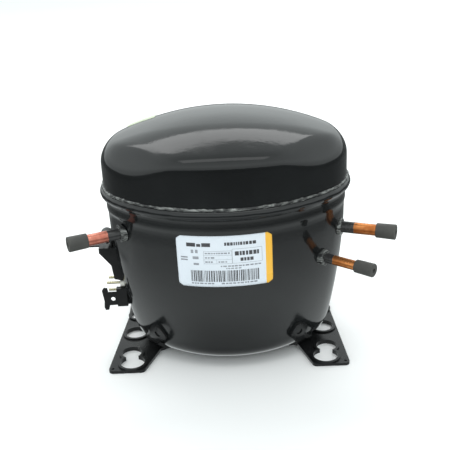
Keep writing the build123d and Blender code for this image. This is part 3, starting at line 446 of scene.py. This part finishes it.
PAINT = gloss_paint("shell_paint", (0.0048, 0.0054, 0.0057), rough=0.085, peel=0.10, dust=0.035)
LIP_WELD = weld_finish()
PLATE = plate_finish()
LABEL = label_finish()
INK = general("label_ink", DARK_PRINT, 0.5, grain=900, bump=0.05)
PALE_INK = general("label_pale_ink", PALE_PRINT, 0.5, grain=900, bump=0.05)
RUBBER = rubber_finish()
COPPER = {
    "suction": copper_finish("copper_suction", TUBES["suction"], *SALMON),
    "process": copper_finish("copper_process", TUBES["process"], *ORANGE),
    "discharge": copper_finish("copper_discharge", TUBES["discharge"], *ORANGE),
}
STEEL = general("terminal_steel", CUP_STEEL, 0.32, 0.9, 400, 0.12)
FINISHES = {
    "suction_collar": LIP_WELD,
    "process_collar": LIP_WELD,
    "discharge_collar": LIP_WELD,
    "lid_sticker": general("sticker_film", GREEN_FILM, 0.4, grain=200, bump=0.08),
    "terminal_cup": STEEL,
    "terminal_glass": general("bead_glass", GREEN_GLASS, 0.12, grain=500, bump=0.1, Coat_Weight=0.6),
    "terminal_pins": general("pin_metal", BRASS, 0.28, 0.85, 700, 0.1),
    "lead_plug": general("plug_plastic", IVORY, 0.45, grain=500, bump=0.08),
    "spring_seats": STEEL,
    "suspension_springs": general("spring_steel", SPRING_STEEL, 0.3, 0.9, 600, 0.1),
    "shock_tube": general("tube_steel", TUBE_STEEL, 0.26, 0.9, 500, 0.08),
    "motor_leads": general("lead_insulation", INSULATION, 0.65, grain=700, bump=0.3, pattern=LEADS),
    "cylinder_block": general("cast_block", CAST_IRON, 0.55, 0.6, 650, 0.5),
    "cylinder_gasket": general("gasket_fibre", FIBRE, 0.8, grain=800, bump=0.3),
    "valve_plate": general("ground_steel", GROUND_STEEL, 0.22, 0.95, 300, 0.08, GROUND_Z),
    "cover_gasket": general("cover_fibre", FIBRE, 0.8, grain=800, bump=0.3),
    "cylinder_head": general("cast_head", HEAD_IRON, 0.5, 0.6, 650, 0.45),
    "discharge_stop": STEEL,
    "head_bolts": general("bolt_zinc", ZINC, 0.3, 0.9, 500, 0.12),
    "suction_muffler": general("muffler_plastic", MUFFLER_TAN, 0.42, grain=400, bump=0.1),
    "muffler_cover": general("muffler_cover_plastic", COVER_TAN, 0.42, grain=400, bump=0.1),
    "discharge_muffler": STEEL,
    "stator_core": general("stator_laminations", STATOR_IRON, 0.4, 0.8, 400, 0.1, pattern=SHEETS),
    "stator_winding": general("magnet_wire", ENAMEL, 0.3, 0.55, 500, 0.2, pattern=WINDING, Coat_Weight=0.4),
    "stator_bolts": general("stator_bolt_zinc", ZINC, 0.3, 0.9, 500, 0.12),
    "spring_caps": general("cap_plastic", BLACK_PLASTIC, 0.45, grain=500, bump=0.1),
    "thrust_washer": general("washer_steel", WASHER_STEEL, 0.25, 0.95, 400, 0.06),
    "crankshaft": general("crank_steel", CRANK_STEEL, 0.2, 0.95, 300, 0.06, GRAIN_Z),
    "counterweight": general("weight_steel", WEIGHT_STEEL, 0.38, 0.9, 400, 0.12),
    "rotor_core": general("rotor_laminations", ROTOR_IRON, 0.35, 0.85, 400, 0.1, pattern=SHEETS),
    "rotor_end_rings": general("rotor_aluminium", ALUMINIUM, 0.4, 0.9, 500, 0.25),
    "oil_pickup": STEEL,
    "slide_shoe": general("shoe_steel", SHOE_STEEL, 0.2, 0.95, 300, 0.06, GRAIN_Y),
    "gallery_plug": general("plug_steel", ZINC, 0.3, 0.9, 500, 0.12),
    "piston": general("piston_steel", GROUND_STEEL, 0.18, 0.95, 300, 0.06, GRAIN_X),
    "yoke_tube": general("yoke_steel", YOKE_STEEL, 0.24, 0.95, 300, 0.08, GRAIN_Y),
    "suction_reed": general("reed_steel", REED_STEEL, 0.18, 0.95, 500, 0.05, GRAIN_Z),
    "discharge_reed": general("discharge_reed_steel", REED_STEEL, 0.18, 0.95, 500, 0.05, GRAIN_Z),
    "base_plate_left": PLATE,
    "base_plate_right": PLATE,
    "terminal_bracket": PLATE,
    "ground_tab": PLATE,
    "suction_cap": RUBBER,
    "process_cap": RUBBER,
    "discharge_cap": RUBBER,
    "suction_tube": COPPER["suction"],
    "process_tube": COPPER["process"],
    "discharge_tube": COPPER["discharge"],
}
for node_name, material in FINISHES.items():
    mesh = nodes[node_name].data
    mesh.materials.clear()
    mesh.materials.append(material)


# ---------------------------------------------------------------- lower shell
# round flats pressed about the tube entries: a point of the bowl, the normal's turn from +X and its tilt up
# in degrees, and how far the flat lies below the point
PADS = [
    {"at": (-80.5, -42.0, 116.0), "turn": 218.0, "tilt": -2.0, "depth": 1.6},
    {"at": (87.5, -41.0, 102.0), "turn": -40.0, "tilt": -3.0, "depth": 1.4},
]
PAD_R, PAD_OUTER_R = 20, 29
PAD_ONSET, PAD_EASE, PAD_DEEPEST = 0.6, 0.9, 4.0
COLLAR_FOOT = 131
PINCH, PINCH_FROM, PINCH_TO = 0.3, 112, 127.5
CORNER_STEPS, SIDE_STEPS = 30, 34
# the collar's side as (offset, height): out of the pinch, up a straight wall and into the lip
COLLAR = [(-0.5, 129.6), (-0.1, 131.4), (0.0, 132.4), (0.0, 134.5), (0.0, 137.5), (0.1, 139.6), (0.5, 141.0)]
COLLAR_INNER_FOOT = 137.0
LIP_OUT, LIP_Z, LIP_HALF_WIDTH, LIP_HALF_HEIGHT = 0.55, 145.4, 3.65, 4.05
LIP_FROM, LIP_TO, LIP_STEPS = -62, 100, 15
LIP_WAVE, LIP_FINE_WAVE, LIP_WAVE_LIMITS = 0.16, 0.10, (-0.3, 0.1)


def on_arc(centre, radius, degrees):
    """The point of an arc in the profile's plane."""
    angle = math.radians(degrees)
    return (centre[0] + radius * math.cos(angle), centre[1] + radius * math.sin(angle))


def bowl_profile(grow):
    """The bowl's side as (offset from the oval, height) from the edge of the flat bottom to the collar."""
    corner = (-CORNER_IN, BOTTOM_Z + CORNER_R)
    side = on_arc(corner, CORNER_R - SIDE_ARC_R, -LEAN)
    rows = [on_arc(corner, CORNER_R + grow, a) for a in np.linspace(-90, -LEAN, CORNER_STEPS)[:-1]]
    for a in np.linspace(-LEAN, -LEAN_TOP, SIDE_STEPS):
        x, z = on_arc(side, SIDE_ARC_R + grow, a)
        pinch = PINCH * float(smoothstep(PINCH_FROM, PINCH_TO, z)) if grow >= 0 else 0.0
        rows.append((x - pinch, z))
    return rows


def press(points):
    """Flatten the round pads about the tube entries."""
    for pad in PADS:
        turn, tilt = math.radians(pad["turn"]), math.radians(pad["tilt"])
        normal = np.array([math.cos(turn) * math.cos(tilt), math.sin(turn) * math.cos(tilt), math.sin(tilt)])
        off = points - np.array(pad["at"])
        over = np.maximum(off @ normal + pad["depth"] + PAD_ONSET, 0)
        sideways = np.linalg.norm(off - np.outer(off @ normal, normal), axis=1)
        within = (1 - smoothstep(PAD_R, PAD_OUTER_R, sideways)) * (points[:, 2] < COLLAR_FOOT)
        cut = np.minimum(over**2 / (over + PAD_EASE), PAD_DEEPEST) * within
        points = points - cut[:, None] * normal
    return points


def ring_rows(profile):
    """Points of a profile of (offset, height) taken round the oval."""
    rows = [np.column_stack([RING + RING_NORMAL * out, np.full(AROUND, z)]) for out, z in profile]
    return np.concatenate(rows)


lip = []
for a in np.linspace(LIP_FROM, LIP_TO, LIP_STEPS):
    a = math.radians(a)
    lip.append((LIP_OUT + LIP_HALF_WIDTH * math.cos(a), LIP_Z + LIP_HALF_HEIGHT * math.sin(a)))
outer = bowl_profile(0.0) + COLLAR + lip
# from the lip down behind the lid's foot, then in to the bowl's inner wall and down it
behind_lid = [(LID_OUT + 0.1, SEAM_TOP - 0.6), (LID_OUT + 0.05, SEAM_Z + 0.4), (-WALL, SEAM_Z)]
inner = bowl_profile(-WALL)[::-1]
profile = outer + behind_lid + [(-WALL, COLLAR_INNER_FOOT)] + inner[1::2]
verts = press(ring_rows(profile))
# the lip is slightly uneven, but for its first and last rows
for j in range(len(outer) - len(lip) + 1, len(outer) - 1):
    part = slice(j * AROUND, (j + 1) * AROUND)
    wobble = LIP_WAVE * ripple(verts[part], 0.35, seed=5) + LIP_FINE_WAVE * ripple(verts[part], 0.9, seed=6)
    verts[part, :2] += RING_NORMAL * np.clip(wobble, *LIP_WAVE_LIMITS)[:, None]
faces = strip_faces(len(profile), AROUND)
faces.append(tuple(range(AROUND))[::-1])
last = (len(profile) - 1) * AROUND
faces.append(tuple(range(last, last + AROUND)))
bowl = new_piece("shell_lower", verts, faces, PAINT)
recalc(bowl)


def cut_hole(target, centre, heading, radius, depth):
    """Bore a round hole through the target with a boolean."""
    heading = Vector(heading).normalized()
    bm = bmesh.new()
    size = {"radius1": radius * MM, "radius2": radius * MM, "depth": depth * MM}
    bmesh.ops.create_cone(bm, cap_ends=True, segments=HOLE_SIDES, **size)
    turn = Vector((0, 0, 1)).rotation_difference(heading).to_matrix().to_4x4()
    bmesh.ops.transform(bm, matrix=Matrix.Translation(Vector(centre) * MM) @ turn, verts=bm.verts)
    mesh = bpy.data.meshes.new("cutter")
    bm.to_mesh(mesh)
    bm.free()
    cutter = bpy.data.objects.new("cutter", mesh)
    bpy.context.scene.collection.objects.link(cutter)
    modifier = target.modifiers.new("hole", "BOOLEAN")
    modifier.operation = "DIFFERENCE"
    modifier.solver = "EXACT"
    modifier.object = cutter
    bpy.context.view_layer.update()
    evaluated = target.evaluated_get(bpy.context.evaluated_depsgraph_get())
    result = bpy.data.meshes.new_from_object(evaluated)
    target.modifiers.clear()
    target.data = result
    bpy.data.objects.remove(cutter)


for tube in TUBES.values():
    turn = math.radians(tube["turn"])
    cut_hole(bowl, tube["at"], (math.cos(turn), math.sin(turn), 0), tube["r"], STUB_HOLE_DEPTH)
cut_hole(bowl, TERMINAL_AT, (1, 0, 0), TERMINAL_HOLE_R, TERMINAL_HOLE_DEPTH)
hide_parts("lower_housing")

# ---------------------------------------------------------------- upper shell
# Flats pressed into the lid, the same on both sides: a point on each, its normal, and the radius of its
# curve along X, or 0 where it is plane. Each blends into the lid over FLAT_EDGE.
FLAT_EDGE = 4.0
FLATS = []
for side in (-1, 1):
    FLATS.append({"at": (0.0, side * 60.0, 196.9), "normal": (-0.02, side * 0.43, 1.0), "curve": 170.0})
    FLATS.append({"at": (-60.0, side * 52.0, 186.5), "normal": (-0.62, side * 0.66, 0.62), "curve": 0.0})
    FLATS.append({"at": (69.5, side * 50.0, 186.5), "normal": (0.64, side * 0.62, 0.66), "curve": 0.0})
# the upright rows end this far under the crown's edge, so that the mesh has no fold there
BELOW_CROWN = 1.0
SHOULDER_STEPS = 14
# each ray to the lid starts at this height on the shell's axis, and meets the surface between these shares
RAY_Z, RAY_LOW, RAY_HIGH, HALVINGS = 150.0, 0.5, 1.3, 26


def lid_surface(p, grow):
    """Signed distance from the lid's surface, grown outwards by grow."""
    x, y, z = p[:, 0], p[:, 1], p[:, 2]
    wall = oval_distance(x, y) - LID_OUT - grow
    crown = np.sqrt((x - SHELL_X) ** 2 + y**2 + (z - LID_TOP + CROWN_R) ** 2) - CROWN_R - grow
    surface = round_max(wall, crown, SHOULDER_R + grow)
    for flat in FLATS:
        normal = np.array(flat["normal"])
        length = np.linalg.norm(normal)
        gap = (p - np.array(flat["at"])) @ normal
        if flat["curve"]:
            gap = gap + (x - flat["at"][0]) ** 2 / (2 * flat["curve"]) * normal[2]
        surface = soft_max(surface, gap / length - grow, FLAT_EDGE)
    return surface


def crown_height(plan):
    """Height of the lid's spherical crown over points of the plan."""
    return LID_TOP - CROWN_R + np.sqrt(CROWN_R**2 - ((plan - AXIS) ** 2).sum(1))


def lid_shell(grow, wall_rows, dome_rows):
    """Rows of points on the lid from its foot to near its crown, then the crown itself."""
    edge = RING + RING_NORMAL * (LID_OUT + grow)
    heights = np.linspace(SEAM_Z, LID_WALL_TOP, wall_rows)
    rows = [np.column_stack([edge, np.full(AROUND, z)]) for z in heights]
    crown_edge = crown_height(edge)
    for share in np.linspace(0, 1, SHOULDER_STEPS)[1:]:
        rows.append(np.column_stack([edge, LID_WALL_TOP + (crown_edge - BELOW_CROWN - LID_WALL_TOP) * share]))
    for share in np.linspace(1.0, 0.0, dome_rows + 1)[1:-1]:
        inward = (edge - AXIS) * share + AXIS
        rows.append(np.column_stack([inward, crown_height(inward)]))
    points = np.concatenate(rows)
    # every point above the upright wall slides along its ray until it meets the surface
    centre = np.array([SHELL_X, 0.0, RAY_Z])
    rays = points[wall_rows * AROUND :] - centre
    low, high = np.full(len(rays), RAY_LOW), np.full(len(rays), RAY_HIGH)
    for _ in range(HALVINGS):
        middle = (low + high) / 2
        outside = lid_surface(centre + rays * middle[:, None], grow) > 0
        high = np.where(outside, middle, high)
        low = np.where(outside, low, middle)
    points[wall_rows * AROUND :] = centre + rays * ((low + high) / 2)[:, None]
    crown = np.array([[SHELL_X, 0.0, LID_TOP + grow]])
    return np.concatenate([points, crown]), len(rows)


outside, outside_rows = lid_shell(0.0, wall_rows=6, dome_rows=64)
inside, inside_rows = lid_shell(-WALL, wall_rows=4, dome_rows=30)
# the outer skin, the inner skin turned over, and the ring of the foot between them
faces = strip_faces(outside_rows, AROUND)
top = (outside_rows - 1) * AROUND
faces += [(top + i, top + (i + 1) % AROUND, outside_rows * AROUND) for i in range(AROUND)]
base = len(outside)
faces += [tuple(base + v for v in f)[::-1] for f in strip_faces(inside_rows, AROUND)]
top = base + (inside_rows - 1) * AROUND
faces += [(top + (i + 1) % AROUND, top + i, base + inside_rows * AROUND) for i in range(AROUND)]
faces += [(i, base + i, base + (i + 1) % AROUND, (i + 1) % AROUND) for i in range(AROUND)]
lid = new_piece("shell_upper", np.concatenate([outside, inside]), faces, PAINT)
recalc(lid)
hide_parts("upper_housing")

# ---------------------------------------------------------------- weld bead
# the bead's centre is at this offset from the oval, and its section runs from the lip over to the lid
BEAD_OUT, BEAD_Z, BEAD_R, BEAD_STRETCH = 1.6, 150.0, 1.1, 1.25
BEAD_FROM, BEAD_TO, BEAD_STEPS = -35, 150, 12
BEAD_FOOT_OUT, BEAD_FOOT_Z = 0.8, 149.0
BEAD_END_STEPS, BEAD_SIDE_STEPS = 150, 330
# unevenness: the swell and the scale marks are shares of the radius, and the grit is in millimetres
BEAD_SWELL, BEAD_SCALES, BEAD_GRIT, BEAD_FINE_GRIT = 0.16, 0.14, 0.13, 0.05
ring, ring_normal = oval_points(0.0, BEAD_END_STEPS, BEAD_SIDE_STEPS)
steps = len(ring)
place = np.column_stack([ring, np.full(steps, BEAD_Z)])
scale_marks = ripple(place, 1.1, seed=11)
radius = BEAD_R * (1 + BEAD_SWELL * ripple(place, 0.25, seed=12) + BEAD_SCALES * scale_marks)
bead_rows = []
for a in np.radians(np.linspace(BEAD_FROM, BEAD_TO, BEAD_STEPS)):
    out = BEAD_OUT + np.cos(a) * radius
    z = BEAD_Z + np.sin(a) * radius * BEAD_STRETCH
    point = np.column_stack([ring + ring_normal * out[:, None], z])
    grit = BEAD_GRIT * ripple(point, 1.6, seed=13) + BEAD_FINE_GRIT * ripple(point, 4.0, seed=14)
    point[:, :2] += ring_normal * (np.cos(a) * grit)[:, None]
    point[:, 2] += np.sin(a) * grit
    bead_rows.append(point)
bead_rows.append(np.column_stack([ring + ring_normal * BEAD_FOOT_OUT, np.full(steps, BEAD_FOOT_Z)]))
verts = np.concatenate(bead_rows)
faces = strip_faces(len(bead_rows), steps)
final = (len(bead_rows) - 1) * steps
faces += [(final + i, final + (i + 1) % steps, (i + 1) % steps, i) for i in range(steps)]
bead = new_piece("weld_bead", verts, faces, LIP_WELD)
recalc(bead)
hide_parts("seam_weld")


# ---------------------------------------------------------------- rating label
LABEL_X, LABEL_Z, LABEL_W, LABEL_H, LABEL_CORNER = 1.7, 106.0, 74.6, 44.5, 3.5
# height of the film's face, of its back and of the print over the paint
FACE_LIFT, BACK_LIFT, PRINT_LIFT = 0.4, 0.02, 0.43
LABEL_ROWS, LABEL_COLUMNS = 19, 37
PATCH_STEP = 2.5
SIDE_ROWS = np.array(bowl_profile(0.0))


def on_front(u, w, lift):
    """The point of the shell's label side at u along and w up the label, lifted off the paint."""
    x, z = LABEL_X - LABEL_W / 2 + u, LABEL_Z - LABEL_H / 2 + w
    out = np.interp(z, SIDE_ROWS[:, 1], SIDE_ROWS[:, 0]) + lift
    dx = x - SHELL_X
    return (x, -(np.sqrt((SIDE_R + out) ** 2 - dx**2) - SIDE_Y), z)


def patch(rectangles, lift):
    """Faces for flat marks on the label: (left, right, bottom, top) in millimetres."""
    verts, faces = [], []
    for left, right, bottom, top in rectangles:
        nu, nw = max(1, round((right - left) / PATCH_STEP)), max(1, round((top - bottom) / PATCH_STEP))
        start = len(verts)
        for w in np.linspace(bottom, top, nw + 1):
            for u in np.linspace(left, right, nu + 1):
                verts.append(on_front(u, w, lift))
        for j in range(nw):
            for i in range(nu):
                a = start + j * (nu + 1) + i
                faces.append((a, a + 1, a + nu + 2, a + nu + 1))
    return verts, faces


def label_sheet():
    """The label as a thin closed sheet with rounded corners."""
    rows, columns = LABEL_ROWS, LABEL_COLUMNS
    verts = []
    for lift in (FACE_LIFT, BACK_LIFT):
        for w in np.linspace(0, LABEL_H, rows):
            over = max(LABEL_CORNER - min(w, LABEL_H - w), 0)
            inset = LABEL_CORNER - math.sqrt(max(LABEL_CORNER**2 - over**2, 0))
            for u in np.linspace(inset, LABEL_W - inset, columns):
                verts.append(on_front(u, w, lift))
    count = rows * columns
    faces = []
    for j in range(rows - 1):
        for i in range(columns - 1):
            a = j * columns + i
            quad = (a, a + 1, a + columns + 1, a + columns)
            faces.append(quad)
            faces.append(tuple(v + count for v in quad)[::-1])
    rim = list(range(columns))
    rim += [(j + 1) * columns - 1 for j in range(1, rows)]
    rim += [(rows - 1) * columns + i for i in range(columns - 2, -1, -1)]
    rim += [j * columns for j in range(rows - 2, 0, -1)]
    for a, b in zip(rim, rim[1:] + rim[:1]):
        faces.append((a, a + count, b + count, b))
    return verts, faces


verts, faces = label_sheet()
label = new_piece("label_sheet", verts, faces, LABEL)
recalc(label)
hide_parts("rating_label")

# ---------------------------------------------------------------- generic print on the label
# Plain marks in place of print, in millimetres from the label's lower left corner. Blocks, rules and frames
# are (left, right, bottom, top), and lines are (left, right, bottom, height, length of a word, gap).
TITLE_BLOCKS = [(8.0, 15.0, 35.6, 38.8), (15.8, 19.0, 35.6, 38.0), (19.8, 26.6, 35.6, 38.8)]
BOLD_LINES = [
    (37.5, 62.5, 36.4, 2.7, 2.1, 0.6),
    (45.4, 64.6, 27.6, 3.6, 2.6, 0.7),
    (49.6, 60.6, 22.6, 2.9, 2.2, 0.6),
]
BARS_LEFT, LAST_BAR_LEFT, BARS_RIGHT, BARS_BOTTOM, BARS_TOP = 10.2, 63.4, 63.8, 4.6, 14.8
BAR_WIDTHS, BAR_GAPS = (0.35, 0.35, 0.6, 0.9), (0.35, 0.5, 0.8)
LEFT_FRAME, RIGHT_FRAME = (21.0, 43.2, 20.8, 32.0), (43.2, 66.6, 20.8, 33.4)
RULES = [(21.2, 43.0, 24.4, 24.6), (21.2, 43.0, 28.1, 28.3), (31.0, 31.2, 21.0, 24.4)]
FINE_WORD, FINE_GAP = 2.2, 0.7
FINE_LINES = [
    (22, 42, 29.4, 1.2, FINE_WORD, FINE_GAP),
    (22, 30, 25.6, 1.2, FINE_WORD, FINE_GAP),
    (22, 29, 21.9, 1.2, FINE_WORD, FINE_GAP),
    (32.4, 40, 21.9, 1.2, FINE_WORD, FINE_GAP),
    (34.0, 66.0, 18.0, 1.2, FINE_WORD, FINE_GAP),
    (38.0, 50.0, 16.0, 1.0, FINE_WORD, FINE_GAP),
    (10.2, 28.0, 2.4, 1.3, FINE_WORD, FINE_GAP),
    (34.0, 63.0, 2.4, 1.3, FINE_WORD, FINE_GAP),
]
SMALL_BLOCKS = [(11.2, 13.2, 30.0, 33.0), (14.6, 16.6, 30.0, 33.0), (3.0, 8.4, 25.6, 26.8)]
SMALL_BLOCKS += [(3.0, 8.4, 23.4, 24.6), (12.4, 17.0, 24.8, 27.2), (12.8, 17.0, 19.6, 21.4)]
RULE_WIDTH = 0.22
SHORTEST_WORD = 0.6

rng = random.Random(7)


def words(left, right, bottom, height, word, gap):
    """Plain dashes that stand where a line of print would be."""
    marks, u = [], left
    while u < right - SHORTEST_WORD:
        length = min(word * rng.uniform(0.5, 1.3), right - u)
        marks.append((u, u + length, bottom, bottom + height))
        u += length + gap * rng.uniform(0.7, 1.3)
    return marks


def frame_lines(left, right, bottom, top):
    """The four rules of a frame."""
    return [
        (left, right, bottom, bottom + RULE_WIDTH),
        (left, right, top - RULE_WIDTH, top),
        (left, left + RULE_WIDTH, bottom + RULE_WIDTH, top - RULE_WIDTH),
        (right - RULE_WIDTH, right, bottom + RULE_WIDTH, top - RULE_WIDTH),
    ]


dark = list(TITLE_BLOCKS)
for line in BOLD_LINES:
    dark += words(*line)
u = BARS_LEFT
while u < LAST_BAR_LEFT:
    wide = rng.choice(BAR_WIDTHS)
    dark.append((u, min(u + wide, BARS_RIGHT), BARS_BOTTOM, BARS_TOP))
    u += wide + rng.choice(BAR_GAPS)
pale = frame_lines(*LEFT_FRAME) + frame_lines(*RIGHT_FRAME) + RULES
for line in FINE_LINES:
    pale += words(*line)
pale += SMALL_BLOCKS
for name, marks, ink in (("label_marks_dark", dark, INK), ("label_marks_pale", pale, PALE_INK)):
    verts, faces = patch(marks, PRINT_LIFT)
    piece = new_piece(name, verts, faces, ink)


# ---------------------------------------------------------------- softened edges on folded sheet
SOFT_EDGES = {"base_plate_left": 0.5, "base_plate_right": 0.5, "ground_tab": 0.25, "terminal_bracket": 0.25}
SHARP_ANGLE = 40
for node_name, width in SOFT_EDGES.items():
    modifier = nodes[node_name].modifiers.new("soft_edge", "BEVEL")
    modifier.width = width * MM
    modifier.segments = 2
    modifier.limit_method = "ANGLE"
    modifier.angle_limit = math.radians(SHARP_ANGLE)
    modifier.harden_normals = False

# ---------------------------------------------------------------- stage
# from here on, lengths are in metres
FLOOR_SIZE, FLOOR_CELLS = 30, 8
FLOOR_GREYS = ((0.90, 0.90, 0.90), (0.93, 0.93, 0.93))
# brightness of the surround by height, from straight down to straight up
SKY = (
    (0.0, 0.25), (0.07, 0.40), (0.16, 0.75), (0.26, 0.5), (0.33, 0.14), (0.40, 0.10), (0.48, 0.12),
    (0.498, 0.72), (0.54, 0.75), (0.66, 1.0), (0.85, 0.85), (1.0, 0.6),
)
SKY_STRENGTH, SKY_RED = 1.3, 0.94
# width and depth of each softbox's nested panels
BACK_SIZES = [(1.2 + 0.3 * i, 0.10 + 0.08 * i) for i in range(6)]
OVERHEAD_SIZES = [(0.7 + 0.2 * i, 0.12 + 0.10 * i) for i in range(5)]

floor_graph = Graph("floor_pale", Roughness=0.9)
floor_graph.set("Base Color", floor_graph.mix(floor_graph.noise(3, 2), *FLOOR_GREYS))
bm = bmesh.new()
bmesh.ops.create_grid(bm, x_segments=FLOOR_CELLS, y_segments=FLOOR_CELLS, size=FLOOR_SIZE)
floor_mesh = bpy.data.meshes.new("floor")
bm.to_mesh(floor_mesh)
bm.free()
floor = bpy.data.objects.new("floor", floor_mesh)
bpy.context.scene.collection.objects.link(floor)
floor_mesh.materials.append(floor_graph.material)
floor.visible_glossy = False

world = bpy.data.worlds.new("studio")
bpy.context.scene.world = world
world.use_nodes = True
tree = world.node_tree
background = tree.nodes["Background"]
coord = tree.nodes.new("ShaderNodeTexCoord")
separate = tree.nodes.new("ShaderNodeSeparateXYZ")
height = tree.nodes.new("ShaderNodeMapRange")
ramp = tree.nodes.new("ShaderNodeValToRGB")
tree.links.new(coord.outputs["Generated"], separate.inputs[0])
tree.links.new(separate.outputs["Z"], height.inputs["Value"])
height.inputs["From Min"].default_value = -1.0
tree.links.new(height.outputs["Result"], ramp.inputs["Fac"])
tree.links.new(ramp.outputs["Color"], background.inputs["Color"])
background.inputs["Strength"].default_value = SKY_STRENGTH
ramp.color_ramp.interpolation = "EASE"
# the ramp starts with its two end stops, so only the middle ones are added
for position, _ in SKY[1:-1]:
    ramp.color_ramp.elements.new(position)
for element, (_, value) in zip(ramp.color_ramp.elements, SKY):
    element.color = (value * SKY_RED, value, value, 1)


def softbox(name, where, aim, sizes, radiance):
    """Nested panels in one plane, so that the light fades out towards its edges."""
    for index, size in enumerate(sizes):
        light = bpy.data.lights.new(f"{name}_{index}", "AREA")
        light.shape = "RECTANGLE"
        light.size, light.size_y = size
        light.energy = radiance / len(sizes) * math.pi * size[0] * size[1]
        obj = bpy.data.objects.new(light.name, light)
        bpy.context.scene.collection.objects.link(obj)
        obj.location = where
        obj.rotation_mode = "QUATERNION"
        obj.rotation_quaternion = (Vector(aim) - Vector(where)).to_track_quat("-Z", "Y")


softbox("back_strip", (-0.15, 1.2, 1.78), (0, 0, 0.18), BACK_SIZES, radiance=13.0)
softbox("overhead", (0.0, -0.42, 1.5), (0, 0, 0.15), OVERHEAD_SIZES, radiance=5.0)

# ---------------------------------------------------------------- camera
CAMERA_AT = (0.0186, -0.6421, 0.3646)
YAW, PITCH, ROLL = math.radians(-1.55), math.radians(21.93), math.radians(-2.96)
camera_data = bpy.data.cameras.new("camera")
camera = bpy.data.objects.new("camera", camera_data)
bpy.context.scene.collection.objects.link(camera)
bpy.context.scene.camera = camera
camera_data.sensor_width = 36
camera_data.lens = 64
camera_data.clip_end = 200
camera.matrix_world = (
    Matrix.Translation(CAMERA_AT)
    @ Matrix.Rotation(-YAW, 4, "Z")
    @ Matrix.Rotation(math.pi / 2 - PITCH, 4, "X")
    @ Matrix.Rotation(ROLL, 4, "Z")
)
bpy.context.scene.view_settings.view_transform = "Standard"
